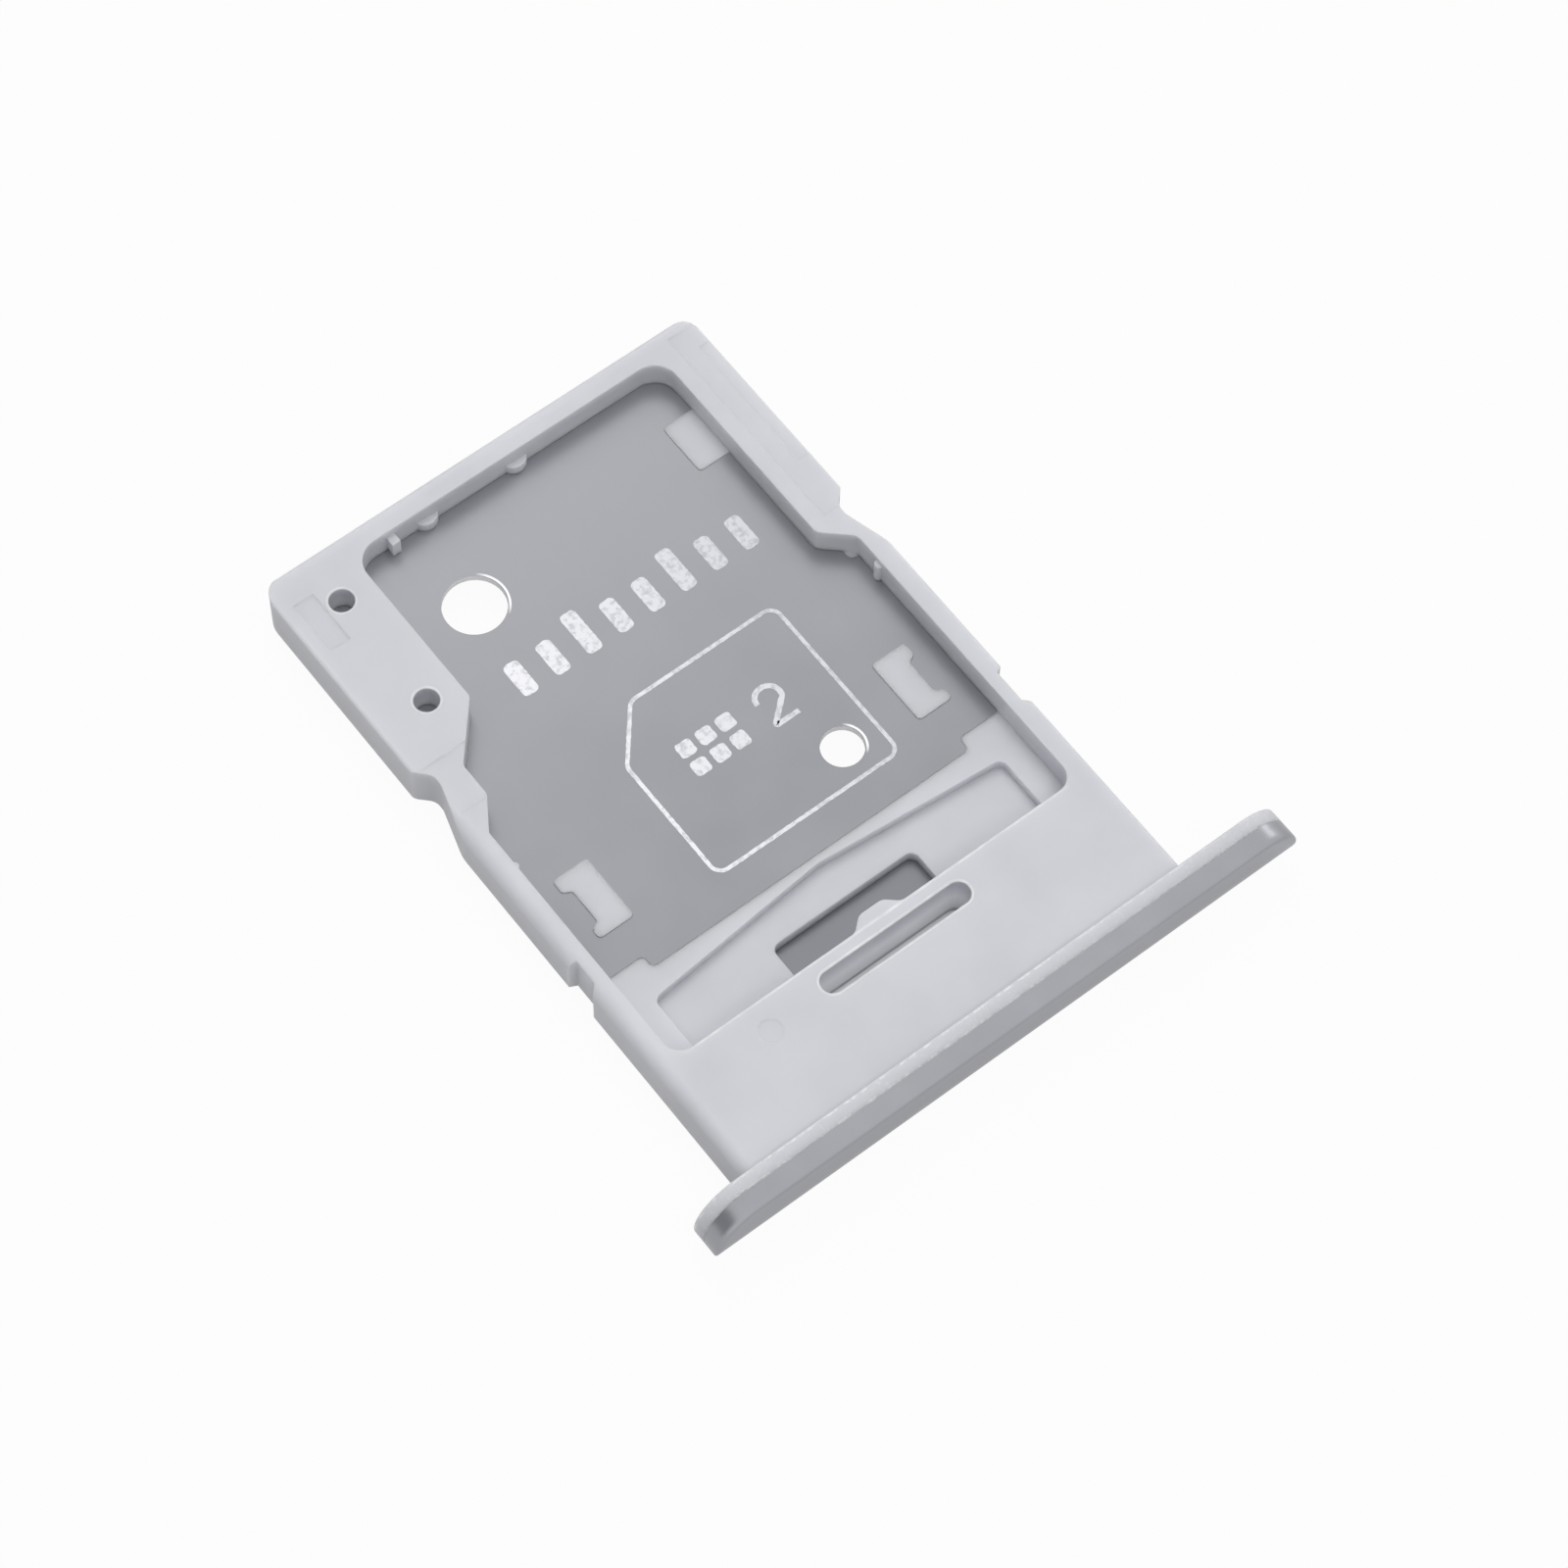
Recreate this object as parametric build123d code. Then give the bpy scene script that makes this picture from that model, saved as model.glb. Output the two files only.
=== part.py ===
from build123d import *
import os
from math import sqrt

# A two-sided card tray for a phone, in millimetres. It lies flat with its memory-card side up.
# X runs across the tray, +Y points from the bezel into the phone and +Z is up.
# The origin is on the centre line, halfway through the thickness, where the tray meets the
# rear face of the bezel: the plane that stops against the phone's side.

# The moulded body
BODY_WIDTH = 13.5
BODY_LENGTH = 20.1
BODY_THICKNESS = 1.85
FAR_CORNER_R = 0.65
LEFT_TOP_NEAR_R = 0.4
LEFT_TOP_FAR_R = 0.1
RIGHT_TOP_R = 0.1
ROUNDED_TOP_END = 12.2
BOTTOM_SIDE_R = 0.45
FAR_EDGE_R = 0.22

# The catch notches in both long sides, and the small reliefs behind the neck
NOTCH_DEPTH = 0.4
NOTCH_NEAR = 11.5
NOTCH_FLAT_NEAR = 12.85
NOTCH_FLAT_FAR = 13.18
NOTCH_FAR = 13.58
NOTCH_LEAD_R = 1.1
NOTCH_NEAR_R = 0.5
NOTCH_FAR_R = 0.4
NOTCH_SHOULDER_R = 0.2
RELIEF_DEPTH = 0.2
RELIEF_NEAR_RIGHT = 5.8
RELIEF_NEAR_LEFT = 6.05
RELIEF_FAR = 7.08
RELIEF_SLOPE = 0.2

# The thinner nose under the far end, which leads the tray into the phone
NOSE_LENGTH = 1.95
NOSE_RISE = 0.24
NOSE_SLOPE = 0.2

# The thin steel floor between the two card pockets
PLATE_THICKNESS = 0.2
PLATE_DEPTH = 0.89
PLATE_EDGE_R = 0.2
PLATE_NEAR = 6.04
PLATE_NEAR_STEP = 0.4
PLATE_NEAR_STEP_IN = 1.25
PLATE_STEP_R = 0.15
PLATE_EMBED = 0.15
PLATE_FAR_EMBED = 0.25
PLATE_TAB_SIDE = 0.8
PLATE_TAB_START = 12.1
POKE_BIG_D = 1.7
POKE_BIG_AT = (-2.46, 16.82)
POKE_SMALL_D = 1.15
POKE_SMALL_AT = (2.48, 8.01)

# The upper pocket: a memory card lengthways, or a nano card across its near part
NECK_LENGTH = 3.46
SIDE_WALL = 0.55
WIDE_CORNER_R = 0.5
FAR_WALL = 0.64
FAR_POCKET_R = 0.7
RIGHT_RAIL = 1.33
RIGHT_STEP_NEAR = 12.2
RIGHT_STEP_FAR = 12.9
RIGHT_STEP_R = 0.34
LEFT_TAB = 2.41
LEFT_SLANT_FAR = 14.39
LEFT_SHELF = 1.15
LEFT_SHELF_FAR = 12.95
LEFT_SHELF_NEAR = 11.95
LEFT_SLANT_NEAR = 11.04
LEFT_STEP_R = 0.22

# The lip recess at the near end of the upper pocket, with its shallow V-shaped far wall
LIP_IN = 0.75
LIP_SIDE = 5.35
LIP_MIDDLE = 5.84
LIP_DEPTH = 0.36
LIP_R = 0.25

# The two slots that free the thin clip wall, and the bump on that wall
CLIP_SLOT_HALF = 2.23
CLIP_SLOT_FAR = 4.84
CLIP_SLOT_R = 0.25
CLIP_WALL = 0.36
BACK_SLOT_WIDTH = 0.65
BACK_SLOT_LENGTH = 4.55
BUMP_HALF = 0.72
BUMP_HEIGHT = 0.32
BUMP_SHOULDER_R = 0.3

# The plastic keys that stand up through the steel floor and lock it
KEY_WALL_GAP = 0.67
KEY_UNDER_WALL = 0.11
KEY_RISE = 0.05
KEY_R = 0.12
NEAR_KEYS_Y = (7.43, 9.38)
FAR_KEY_Y = (16.5, 18.09)
KEY_RELIEF_DEPTH = 0.24
KEY_RELIEF_Y = (7.72, 8.98)

# The lower pocket for the second nano card, with the card's cut corner
CARD_WIDTH = 8.8
CARD_LENGTH = 12.3
CARD_CUT = 1.65
CARD_CLEARANCE = 0.07
LOWER_NEAR = 6.5
LOWER_R = 0.3

# Small moulded details. Insets are measured from the body's nearer side.
PIN_HOLE_D = 0.68
PIN_HOLES_INSET_Y = ((1.45, 18.53), (1.49, 14.95))
NUB_R = 0.36
NUB_PROUD = 0.2
NUB_RISE = 0.35
NUBS_X = (-2.0, 0.8)
CORNER_RIB_X = -3.14
CORNER_RIB_WIDTH = 0.24
CORNER_RIB_LENGTH = 0.26
CORNER_RIB_DROP = 0.3
CRUSH_RIB_R = 0.12
CRUSH_RIB_DROP = 0.2
RIGHT_CRUSH_RIB_Y = 11.3
LEFT_CRUSH_RIB_Y = 10.0
MARK_DEPTH = 0.03
TAB_MARK_INSET = (0.38, 0.99)
TAB_MARK_Y = (17.52, 19.13)
SADDLE_Y = (11.85, 13.46)
RAIL_STEP_INSET = 0.88
RAIL_STEP_Y = (13.14, 19.74)
RAIL_MARK_INSET = 0.36
RAIL_MARK_Y = (14.87, 19.1)
EJECT_MARK_R = 0.32
EJECT_MARK_AT = (-3.95, 2.63)

# The bezel: a moulded flange at the end of the neck and a metal cap on the front of it
BEZEL_LENGTH = 18.08
BEZEL_HEIGHT = 2.46
BEZEL_OFFSET = 0.76
FLANGE_THICKNESS = 0.4
CAP_THICKNESS = 0.53
CAP_EDGE_R = 0.06
ROLL_START = 0.32
ROLL_R = 1.55
TONGUE_WIDTH = 5.4
TONGUE_THICKNESS = 0.15
TONGUE_SKIN = 0.05
TONGUE_FAR = 5.3
TONGUE_R = 0.4
TONGUE_WINDOW_WIDTH = 1.2
TONGUE_WINDOW_LENGTH = 1.0
TONGUE_WINDOW_MIDDLE = 1.2

# Heights and places that follow from the sizes above
TOP = BODY_THICKNESS / 2
BOTTOM = -BODY_THICKNESS / 2
FLOOR_TOP = TOP - PLATE_DEPTH
FLOOR_BOTTOM = FLOOR_TOP - PLATE_THICKNESS
LIP_FLOOR = FLOOR_TOP - LIP_DEPTH
TONGUE_BOTTOM = BOTTOM + TONGUE_SKIN
SLOT_FLOOR = TONGUE_BOTTOM + TONGUE_THICKNESS
HALF_WIDTH = BODY_WIDTH / 2
WIDE_HALF = HALF_WIDTH - SIDE_WALL
RIGHT_WALL_X = HALF_WIDTH - RIGHT_RAIL
LEFT_WALL_X = LEFT_TAB - HALF_WIDTH
LEFT_SHELF_X = LEFT_SHELF - HALF_WIDTH
POCKET_FAR = BODY_LENGTH - FAR_WALL
LOWER_HALF = CARD_WIDTH / 2 + CARD_CLEARANCE
LOWER_FAR = LOWER_NEAR + CARD_LENGTH + 2 * CARD_CLEARANCE
BEZEL_FRONT = -(FLANGE_THICKNESS + CAP_THICKNESS)
OVERCUT = 1.0


def rounded(points):
    """A closed face from (x, y, corner radius) points in the XY plane."""
    corners = [(x, y) for x, y, r in points]
    radii = [r for x, y, r in points]
    return make_face(FilletPolyline(*corners, radius=radii, close=True))


def prism(face, low, high):
    """The face's outline, stood up between two heights."""
    return Pos(0, 0, low) * extrude(face, high - low, dir=(0, 0, 1))


def block(xs, ys, zs):
    """A box between two values along each axis."""
    size = [high - low for low, high in (xs, ys, zs)]
    middle = [(high + low) / 2 for low, high in (xs, ys, zs)]
    return Pos(*middle) * Box(*size)


def peg(at, diameter, low, high):
    """An upright round between two heights."""
    return prism(Pos(*at) * Circle(diameter / 2), low, high)


def side_profile(relief_near):
    """One edge of the body from the bezel to the far corner, drawn as the right one."""
    waist = HALF_WIDTH - RELIEF_DEPTH
    notch = HALF_WIDTH - NOTCH_DEPTH
    return [
        (HALF_WIDTH, 0, 0),
        (HALF_WIDTH, relief_near, 0),
        (waist, relief_near + RELIEF_SLOPE, 0),
        (waist, RELIEF_FAR - RELIEF_SLOPE / 2, 0),
        (HALF_WIDTH, RELIEF_FAR, 0),
        (HALF_WIDTH, NOTCH_NEAR, NOTCH_LEAD_R),
        (notch, NOTCH_FLAT_NEAR, NOTCH_NEAR_R),
        (notch, NOTCH_FLAT_FAR, NOTCH_FAR_R),
        (HALF_WIDTH, NOTCH_FAR, NOTCH_SHOULDER_R),
        (HALF_WIDTH, BODY_LENGTH, FAR_CORNER_R),
    ]


def body_section(left_radius):
    """The body's cross-section with rounded upper edges, as a face in the XZ plane."""
    corners = [
        (-HALF_WIDTH, BOTTOM, 0),
        (HALF_WIDTH, BOTTOM, 0),
        (HALF_WIDTH, TOP, RIGHT_TOP_R),
        (-HALF_WIDTH, TOP, left_radius),
    ]
    return Plane.XZ * rounded(corners)


def body_side_view():
    """The body seen from the side, with its rounded far edge and its thinner nose."""
    start = BODY_LENGTH - NOSE_LENGTH
    rise = BOTTOM + NOSE_RISE
    outline = rounded([
        (0, BOTTOM, 0),
        (start, BOTTOM, 0),
        (start + NOSE_SLOPE, rise, 0),
        (BODY_LENGTH - NOSE_RISE, rise, 0),
        (BODY_LENGTH, rise + NOSE_RISE, 0),
        (BODY_LENGTH, TOP, FAR_EDGE_R),
        (0, TOP, 0),
    ])
    return Pos(-BODY_WIDTH, 0, 0) * extrude(Plane.YZ * outline, 2 * BODY_WIDTH, dir=(1, 0, 0))


def body_blank():
    """The solid body before its pockets are cut, with its lower rounding along both sides."""
    right = side_profile(RELIEF_NEAR_RIGHT)
    left = [(-x, y, r) for x, y, r in reversed(side_profile(RELIEF_NEAR_LEFT))]
    plan = prism(rounded(right + left), BOTTOM, TOP)
    lower_edges = plan.edges().group_by(Axis.Z)[0].sort_by(Axis.Y)[1:]
    plan = fillet(lower_edges, BOTTOM_SIDE_R)
    near = extrude(body_section(LEFT_TOP_NEAR_R), ROUNDED_TOP_END, dir=(0, 1, 0))
    far = extrude(body_section(LEFT_TOP_FAR_R), BODY_LENGTH - ROUNDED_TOP_END, dir=(0, 1, 0))
    return plan & (near + Pos(0, ROUNDED_TOP_END, 0) * far) & body_side_view()


def upper_pocket():
    """The opening that the upper card lies in."""
    outline = rounded([
        (-WIDE_HALF, NECK_LENGTH, WIDE_CORNER_R),
        (WIDE_HALF, NECK_LENGTH, WIDE_CORNER_R),
        (WIDE_HALF, RIGHT_STEP_NEAR, RIGHT_STEP_R),
        (RIGHT_WALL_X, RIGHT_STEP_FAR, RIGHT_STEP_R),
        (RIGHT_WALL_X, POCKET_FAR, FAR_POCKET_R),
        (LEFT_WALL_X, POCKET_FAR, FAR_POCKET_R),
        (LEFT_WALL_X, LEFT_SLANT_FAR, LEFT_STEP_R),
        (LEFT_SHELF_X, LEFT_SHELF_FAR, LEFT_STEP_R),
        (LEFT_SHELF_X, LEFT_SHELF_NEAR, LEFT_STEP_R),
        (-WIDE_HALF, LEFT_SLANT_NEAR, LEFT_STEP_R),
    ])
    return prism(outline, FLOOR_TOP, TOP + OVERCUT)


def lip_recess():
    """The deeper end for the memory card's thick edge."""
    half = WIDE_HALF - LIP_IN
    outline = rounded([
        (-half, NECK_LENGTH, 0),
        (half, NECK_LENGTH, 0),
        (half, LIP_SIDE, LIP_R),
        (0, LIP_MIDDLE, 0),
        (-half, LIP_SIDE, LIP_R),
    ])
    return prism(outline, LIP_FLOOR, TOP)


def clip_slots():
    """The slots on both sides of the thin clip wall."""
    front = rounded([
        (-CLIP_SLOT_HALF, NECK_LENGTH, 0),
        (CLIP_SLOT_HALF, NECK_LENGTH, 0),
        (CLIP_SLOT_HALF, CLIP_SLOT_FAR, CLIP_SLOT_R),
        (-CLIP_SLOT_HALF, CLIP_SLOT_FAR, CLIP_SLOT_R),
    ])
    middle = NECK_LENGTH - CLIP_WALL - BACK_SLOT_WIDTH / 2
    back = Pos(0, middle) * SlotOverall(BACK_SLOT_LENGTH, BACK_SLOT_WIDTH)
    return prism(front, SLOT_FLOOR, TOP) + prism(back, SLOT_FLOOR, TOP + OVERCUT)


def clip_bump():
    """The bump on the clip wall that holds the card's edge."""
    foot = BUMP_HALF + BUMP_SHOULDER_R
    outline = rounded([
        (-foot, NECK_LENGTH - CLIP_WALL / 2, 0),
        (foot, NECK_LENGTH - CLIP_WALL / 2, 0),
        (foot, NECK_LENGTH, 0),
        (BUMP_HALF, NECK_LENGTH, BUMP_SHOULDER_R),
        (BUMP_HALF / 2, NECK_LENGTH + BUMP_HEIGHT, BUMP_SHOULDER_R),
        (-BUMP_HALF / 2, NECK_LENGTH + BUMP_HEIGHT, BUMP_SHOULDER_R),
        (-BUMP_HALF, NECK_LENGTH, BUMP_SHOULDER_R),
        (-foot, NECK_LENGTH, 0),
    ])
    return prism(outline, SLOT_FLOOR, TOP)


def near_key(side):
    """The outline of a near key, with the relief in its outer edge."""
    inner = LOWER_HALF
    outer = WIDE_HALF - KEY_WALL_GAP
    waist = outer - KEY_RELIEF_DEPTH
    points = [
        (inner, NEAR_KEYS_Y[0], KEY_R),
        (outer, NEAR_KEYS_Y[0], KEY_R),
        (outer, KEY_RELIEF_Y[0], KEY_R),
        (waist, KEY_RELIEF_Y[0] + KEY_RELIEF_DEPTH / 2, KEY_R),
        (waist, KEY_RELIEF_Y[1] - KEY_RELIEF_DEPTH / 2, KEY_R),
        (outer, KEY_RELIEF_Y[1], KEY_R),
        (outer, NEAR_KEYS_Y[1], KEY_R),
        (inner, NEAR_KEYS_Y[1], KEY_R),
    ]
    return rounded([(side * x, y, r) for x, y, r in points])


def far_key():
    """The outline of the far key, which runs under the right wall."""
    outer = RIGHT_WALL_X + KEY_UNDER_WALL
    return rounded([
        (LOWER_HALF, FAR_KEY_Y[0], KEY_R),
        (outer, FAR_KEY_Y[0], 0),
        (outer, FAR_KEY_Y[1], 0),
        (LOWER_HALF, FAR_KEY_Y[1], KEY_R),
    ])


def keys(low, high):
    """All three keys between two heights."""
    return prism(near_key(1), low, high) + prism(near_key(-1), low, high) + prism(far_key(), low, high)


def lower_pocket():
    """The opening under the steel floor for the second card."""
    cut = CARD_CUT
    outline = rounded([
        (-LOWER_HALF, LOWER_NEAR, LOWER_R),
        (LOWER_HALF, LOWER_NEAR, LOWER_R),
        (LOWER_HALF, LOWER_FAR, LOWER_R),
        (-LOWER_HALF + cut, LOWER_FAR, LOWER_R),
        (-LOWER_HALF, LOWER_FAR - cut, LOWER_R),
    ])
    return prism(outline, BOTTOM - OVERCUT, FLOOR_BOTTOM)


def wall_details():
    """Nubs at the foot of the far wall, the corner rib and the two crush ribs."""
    details = block(
        (CORNER_RIB_X - CORNER_RIB_WIDTH / 2, CORNER_RIB_X + CORNER_RIB_WIDTH / 2),
        (POCKET_FAR - CORNER_RIB_LENGTH, POCKET_FAR + FAR_WALL / 2),
        (FLOOR_TOP, TOP - CORNER_RIB_DROP),
    )
    for x in NUBS_X:
        details += peg((x, POCKET_FAR + NUB_R - NUB_PROUD), 2 * NUB_R, FLOOR_TOP, FLOOR_TOP + NUB_RISE)
    for at in ((WIDE_HALF, RIGHT_CRUSH_RIB_Y), (-WIDE_HALF, LEFT_CRUSH_RIB_Y)):
        details += peg(at, 2 * CRUSH_RIB_R, FLOOR_TOP, TOP - CRUSH_RIB_DROP)
    return details


def surface_marks():
    """The shallow steps and witness marks of the mould in the upper face."""
    zs = (TOP - MARK_DEPTH, TOP + OVERCUT)
    deeper = (TOP - 2 * MARK_DEPTH, TOP + OVERCUT)
    outside = HALF_WIDTH + OVERCUT
    marks = block([inset - HALF_WIDTH for inset in TAB_MARK_INSET], TAB_MARK_Y, zs)
    marks += block((-outside, LEFT_SHELF_X + OVERCUT), SADDLE_Y, zs)
    marks += block((HALF_WIDTH - RAIL_STEP_INSET, outside), RAIL_STEP_Y, zs)
    marks += block((HALF_WIDTH - RAIL_MARK_INSET, outside), RAIL_MARK_Y, deeper)
    marks += peg(EJECT_MARK_AT, 2 * EJECT_MARK_R, TOP - MARK_DEPTH / 2, TOP + OVERCUT)
    return marks


def bezel_blank(rear, depth):
    """A slice of the bezel's long rounded outline, from its rear plane forwards."""
    outline = Plane.XZ * Pos(BEZEL_OFFSET, 0) * SlotOverall(BEZEL_LENGTH, BEZEL_HEIGHT)
    return Pos(0, rear, 0) * extrude(outline, depth, dir=(0, -1, 0))


def bezel_form():
    """The bezel's side view, upright in front and rolled under towards its lower rear edge."""
    rear_z = ROLL_START - sqrt(ROLL_R**2 - (ROLL_R + BEZEL_FRONT) ** 2)
    outline = (
        Line((0, rear_z), (0, BEZEL_HEIGHT))
        + Line((0, BEZEL_HEIGHT), (BEZEL_FRONT, BEZEL_HEIGHT))
        + Line((BEZEL_FRONT, BEZEL_HEIGHT), (BEZEL_FRONT, ROLL_START))
        + TangentArc((BEZEL_FRONT, ROLL_START), (0, rear_z), tangent=(0, -1))
    )
    profile = make_face(Plane.YZ * outline)
    return Pos(-BEZEL_LENGTH, 0, 0) * extrude(profile, 2 * BEZEL_LENGTH, dir=(1, 0, 0))


def tongue():
    """The cap's flat tongue, which the neck is moulded round and which both slots end on."""
    rear = -FLANGE_THICKNESS
    outline = rounded([
        (-TONGUE_WIDTH / 2, rear, 0),
        (TONGUE_WIDTH / 2, rear, 0),
        (TONGUE_WIDTH / 2, TONGUE_FAR, TONGUE_R),
        (-TONGUE_WIDTH / 2, TONGUE_FAR, TONGUE_R),
    ])
    window = SlotOverall(TONGUE_WINDOW_WIDTH, TONGUE_WINDOW_LENGTH)
    outline -= Pos(0, TONGUE_WINDOW_MIDDLE) * window
    return prism(outline, TONGUE_BOTTOM, SLOT_FLOOR)


def plate_blank():
    """The steel floor before its poke holes, with its windows for the keys."""
    half = WIDE_HALF + PLATE_EMBED
    near_half = WIDE_HALF - PLATE_NEAR_STEP_IN
    tab_half = HALF_WIDTH - PLATE_TAB_SIDE
    step = PLATE_NEAR + PLATE_NEAR_STEP
    far = POCKET_FAR + PLATE_FAR_EMBED
    side = [
        (near_half, PLATE_NEAR, PLATE_STEP_R),
        (near_half, step, PLATE_STEP_R),
        (half, step, PLATE_EDGE_R),
        (half, PLATE_TAB_START, PLATE_EDGE_R),
        (tab_half, PLATE_TAB_START, PLATE_EDGE_R),
        (tab_half, far, PLATE_EDGE_R),
    ]
    other = [(-x, y, r) for x, y, r in reversed(side)]
    return prism(rounded(side + other), FLOOR_BOTTOM, FLOOR_TOP) - keys(FLOOR_BOTTOM, FLOOR_TOP)


def floor_plate():
    """The stamped steel floor with the holes that a card is poked out through."""
    plate = plate_blank()
    plate -= peg(POKE_BIG_AT, POKE_BIG_D, FLOOR_BOTTOM, FLOOR_TOP)
    plate -= peg(POKE_SMALL_AT, POKE_SMALL_D, FLOOR_BOTTOM, FLOOR_TOP)
    return plate


def end_cap():
    """The metal cap with its tongue."""
    cap = bezel_blank(-FLANGE_THICKNESS, CAP_THICKNESS) & bezel_form()
    front = cap.faces().sort_by(Axis.Y)[0]
    crisp = front.edges().sort_by(Axis.Z)[-1]
    return fillet(crisp, CAP_EDGE_R) + tongue()


def tray_frame():
    """The moulded body with its flange, pockets, slots and keys, gripping the steel floor."""
    flange = bezel_blank(0, FLANGE_THICKNESS) & bezel_form()
    frame = body_blank() + flange
    frame -= upper_pocket()
    frame -= lip_recess()
    frame -= lower_pocket()
    frame -= clip_slots()
    frame += clip_bump()
    frame += wall_details()
    frame += keys(FLOOR_BOTTOM, FLOOR_TOP + KEY_RISE)
    for inset, y in PIN_HOLES_INSET_Y:
        frame -= peg((inset - HALF_WIDTH, y), PIN_HOLE_D, FLOOR_TOP, TOP + OVERCUT)
    frame -= surface_marks()
    return frame - plate_blank() - tongue()


nodes = {
    "tray_frame": tray_frame(),
    "floor_plate": floor_plate(),
    "end_cap": end_cap(),
}
os.makedirs("parts", exist_ok=True)
for name, shape in nodes.items():
    export_step(shape, f"parts/{name}.step")
    print(name, round(shape.volume, 3), len(shape.solids()), shape.bounding_box())
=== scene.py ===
from math import ceil, cos, radians, sin, tan

import bpy
from mathutils import Matrix, Vector, noise


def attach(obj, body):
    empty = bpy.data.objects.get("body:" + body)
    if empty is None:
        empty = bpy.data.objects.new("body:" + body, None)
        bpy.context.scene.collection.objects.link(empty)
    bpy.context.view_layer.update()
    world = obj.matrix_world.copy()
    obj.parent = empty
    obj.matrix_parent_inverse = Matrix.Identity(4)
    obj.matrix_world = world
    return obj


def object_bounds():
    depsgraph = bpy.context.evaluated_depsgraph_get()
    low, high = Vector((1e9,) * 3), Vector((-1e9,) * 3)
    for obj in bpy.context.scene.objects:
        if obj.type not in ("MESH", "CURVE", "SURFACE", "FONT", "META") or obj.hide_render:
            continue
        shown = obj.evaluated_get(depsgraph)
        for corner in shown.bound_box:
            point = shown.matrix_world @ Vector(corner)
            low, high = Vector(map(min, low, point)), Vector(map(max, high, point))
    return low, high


MM = 0.001

# Heights in the tray, in millimetres above the middle of its thickness
STEEL_FLOOR_TOP = 0.035
ETCH_LIFT = 0.004
SHEET_THICKNESS = 0.2

# The etched outline of a nano card on the steel floor, in millimetres
CARD_LEFT = -2.16
CARD_RIGHT = 3.55
CARD_NEAR = 7.05
CARD_FAR = 12.24
CARD_CUT_X = -0.97
CARD_CUT_Y = 10.79
CARD_CORNER_R = 0.32
OUTLINE_WIDTH = 0.11

# The row of etched contact fingers that stands for the memory card, two of them longer
FINGERS = 8
LONG_FINGERS = (2, 5)
FINGERS_LEFT = -3.0
FINGERS_PITCH = 1.0
FINGER_WIDTH = 0.46
FINGER_NEAR = 13.9
FINGER_FAR = 14.95
LONG_FINGER_FAR = 15.25
FINGER_CORNER_R = 0.14

# The etched chip sign, three pads by two, and the slot number inside the card outline
PADS_ACROSS = 3
PADS_UP = 2
PADS_LEFT = -0.9
PADS_NEAR = 9.48
PAD_SIZE = 0.46
PAD_PITCH = 0.62
PAD_CORNER_R = 0.1
NUMBER_LEFT = 1.5
NUMBER_WIDTH = 0.7
NUMBER_NEAR = 9.48
NUMBER_FAR = 10.56
NUMBER_STROKE = 0.15

# How ragged the laser leaves an edge: waves in a millimetre, a share of a line's width, and a pad's millimetres
RAGGED_WAVES = 9
RAGGED_LINE = 0.2
RAGGED_PAD = 0.02

# The two holes in the steel floor that a card is poked out through: centre and diameter, in millimetres
POKE_HOLES = (((-2.46, 16.82), 1.7), ((2.48, 8.01), 1.15))
BURR_OFFSET = 0.055
BURR_HALF_WIDTH = 0.03

# The narrow slot and the two round holes in the plastic, as middle, half length and half width
SLOT_MIDDLE = 2.775
NARROW_HOLES = (((0.0, SLOT_MIDDLE), 2.28, 0.33), ((-5.3, 18.53), 0.34, 0.34), ((-5.26, 14.95), 0.34, 0.34))
HOLE_WALLS_BOTTOM = -0.57
UNDER_TOP_FACE = 0.9
# The painted light under the slot fades out at this distance from its middle
SLOT_LIGHT_FADE = 0.8
# Farther than any point of the tray lies from them
FAR_FROM_HOLES = 1000

# The pocket's near edge, and how far to either side its painted highlight runs
POCKET_NEAR_EDGE = 3.46
HIGHLIGHT_HALF_WIDTH = 5.6
HIGHLIGHT_FADE_END = 6.0

# The flash lines on the bezel's flange, which carry a painted glint, as places along the tray and widths
REAR_FLASH = (-0.04, 0.05)
SEAM_FLASH = (-0.36, 0.06)
FLANGE_FADE = 0.04
CAP_SEAM = -0.38

# The camera that took the photograph, worked out from the tray's straight edges
CAMERA_PLACE = (-35.24, -35.067, 110.42)
CAMERA_AZIMUTH = -39.782
CAMERA_ELEVATION = 63.047
CAMERA_ROLL = 2.294
CAMERA_LENS = 114.2
SENSOR_WIDTH = 36

# The tray's colours
PLASTIC_DARK = "#CACBD0"
PLASTIC_PALE = "#CFD0D5"
FLANGE_SHADE = "#C8C9CE"
# Painted glint on the mould flash
FLASH_GLINT_WHITE = "#F0F1F4"
# Painted highlight on the frame's edges and rims
EDGE_HIGHLIGHT_WHITE = "#F4F5F7"
# Painted light on the narrow holes' walls, grey at the top and near white deeper down
HOLE_WALL_TOP_PAINTED_TONE = "#C1C2C8"
HOLE_WALL_DEEP_PAINTED_LIGHT = "#F2F3F6"
STEEL_DARK = "#9D9EA3"
STEEL_PALE = "#A6A7AC"
# Painted sheen toward the steel floor's far end
STEEL_PAINTED_SHEEN = "#AFB0B5"
# Painted reflection on the sheet's cut edges and painted glint on the burrs
STEEL_PAINTED_SHINE = "#FAFAFB"
ETCH_PIT_FRESH = "#D2D3D8"
ETCH_FRESH = "#F2F2F6"
ETCH_PIT_FAINT = "#C0C1C6"
ETCH_FAINT = "#DADBE0"
CAP_DARK = "#A3A4A9"
CAP_PALE = "#AAABB0"
TONGUE_GREY = "#8E8F95"
# Painted light on the tongue under the narrow slot
TONGUE_PAINTED_LIGHT = "#F4F4F6"

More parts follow.
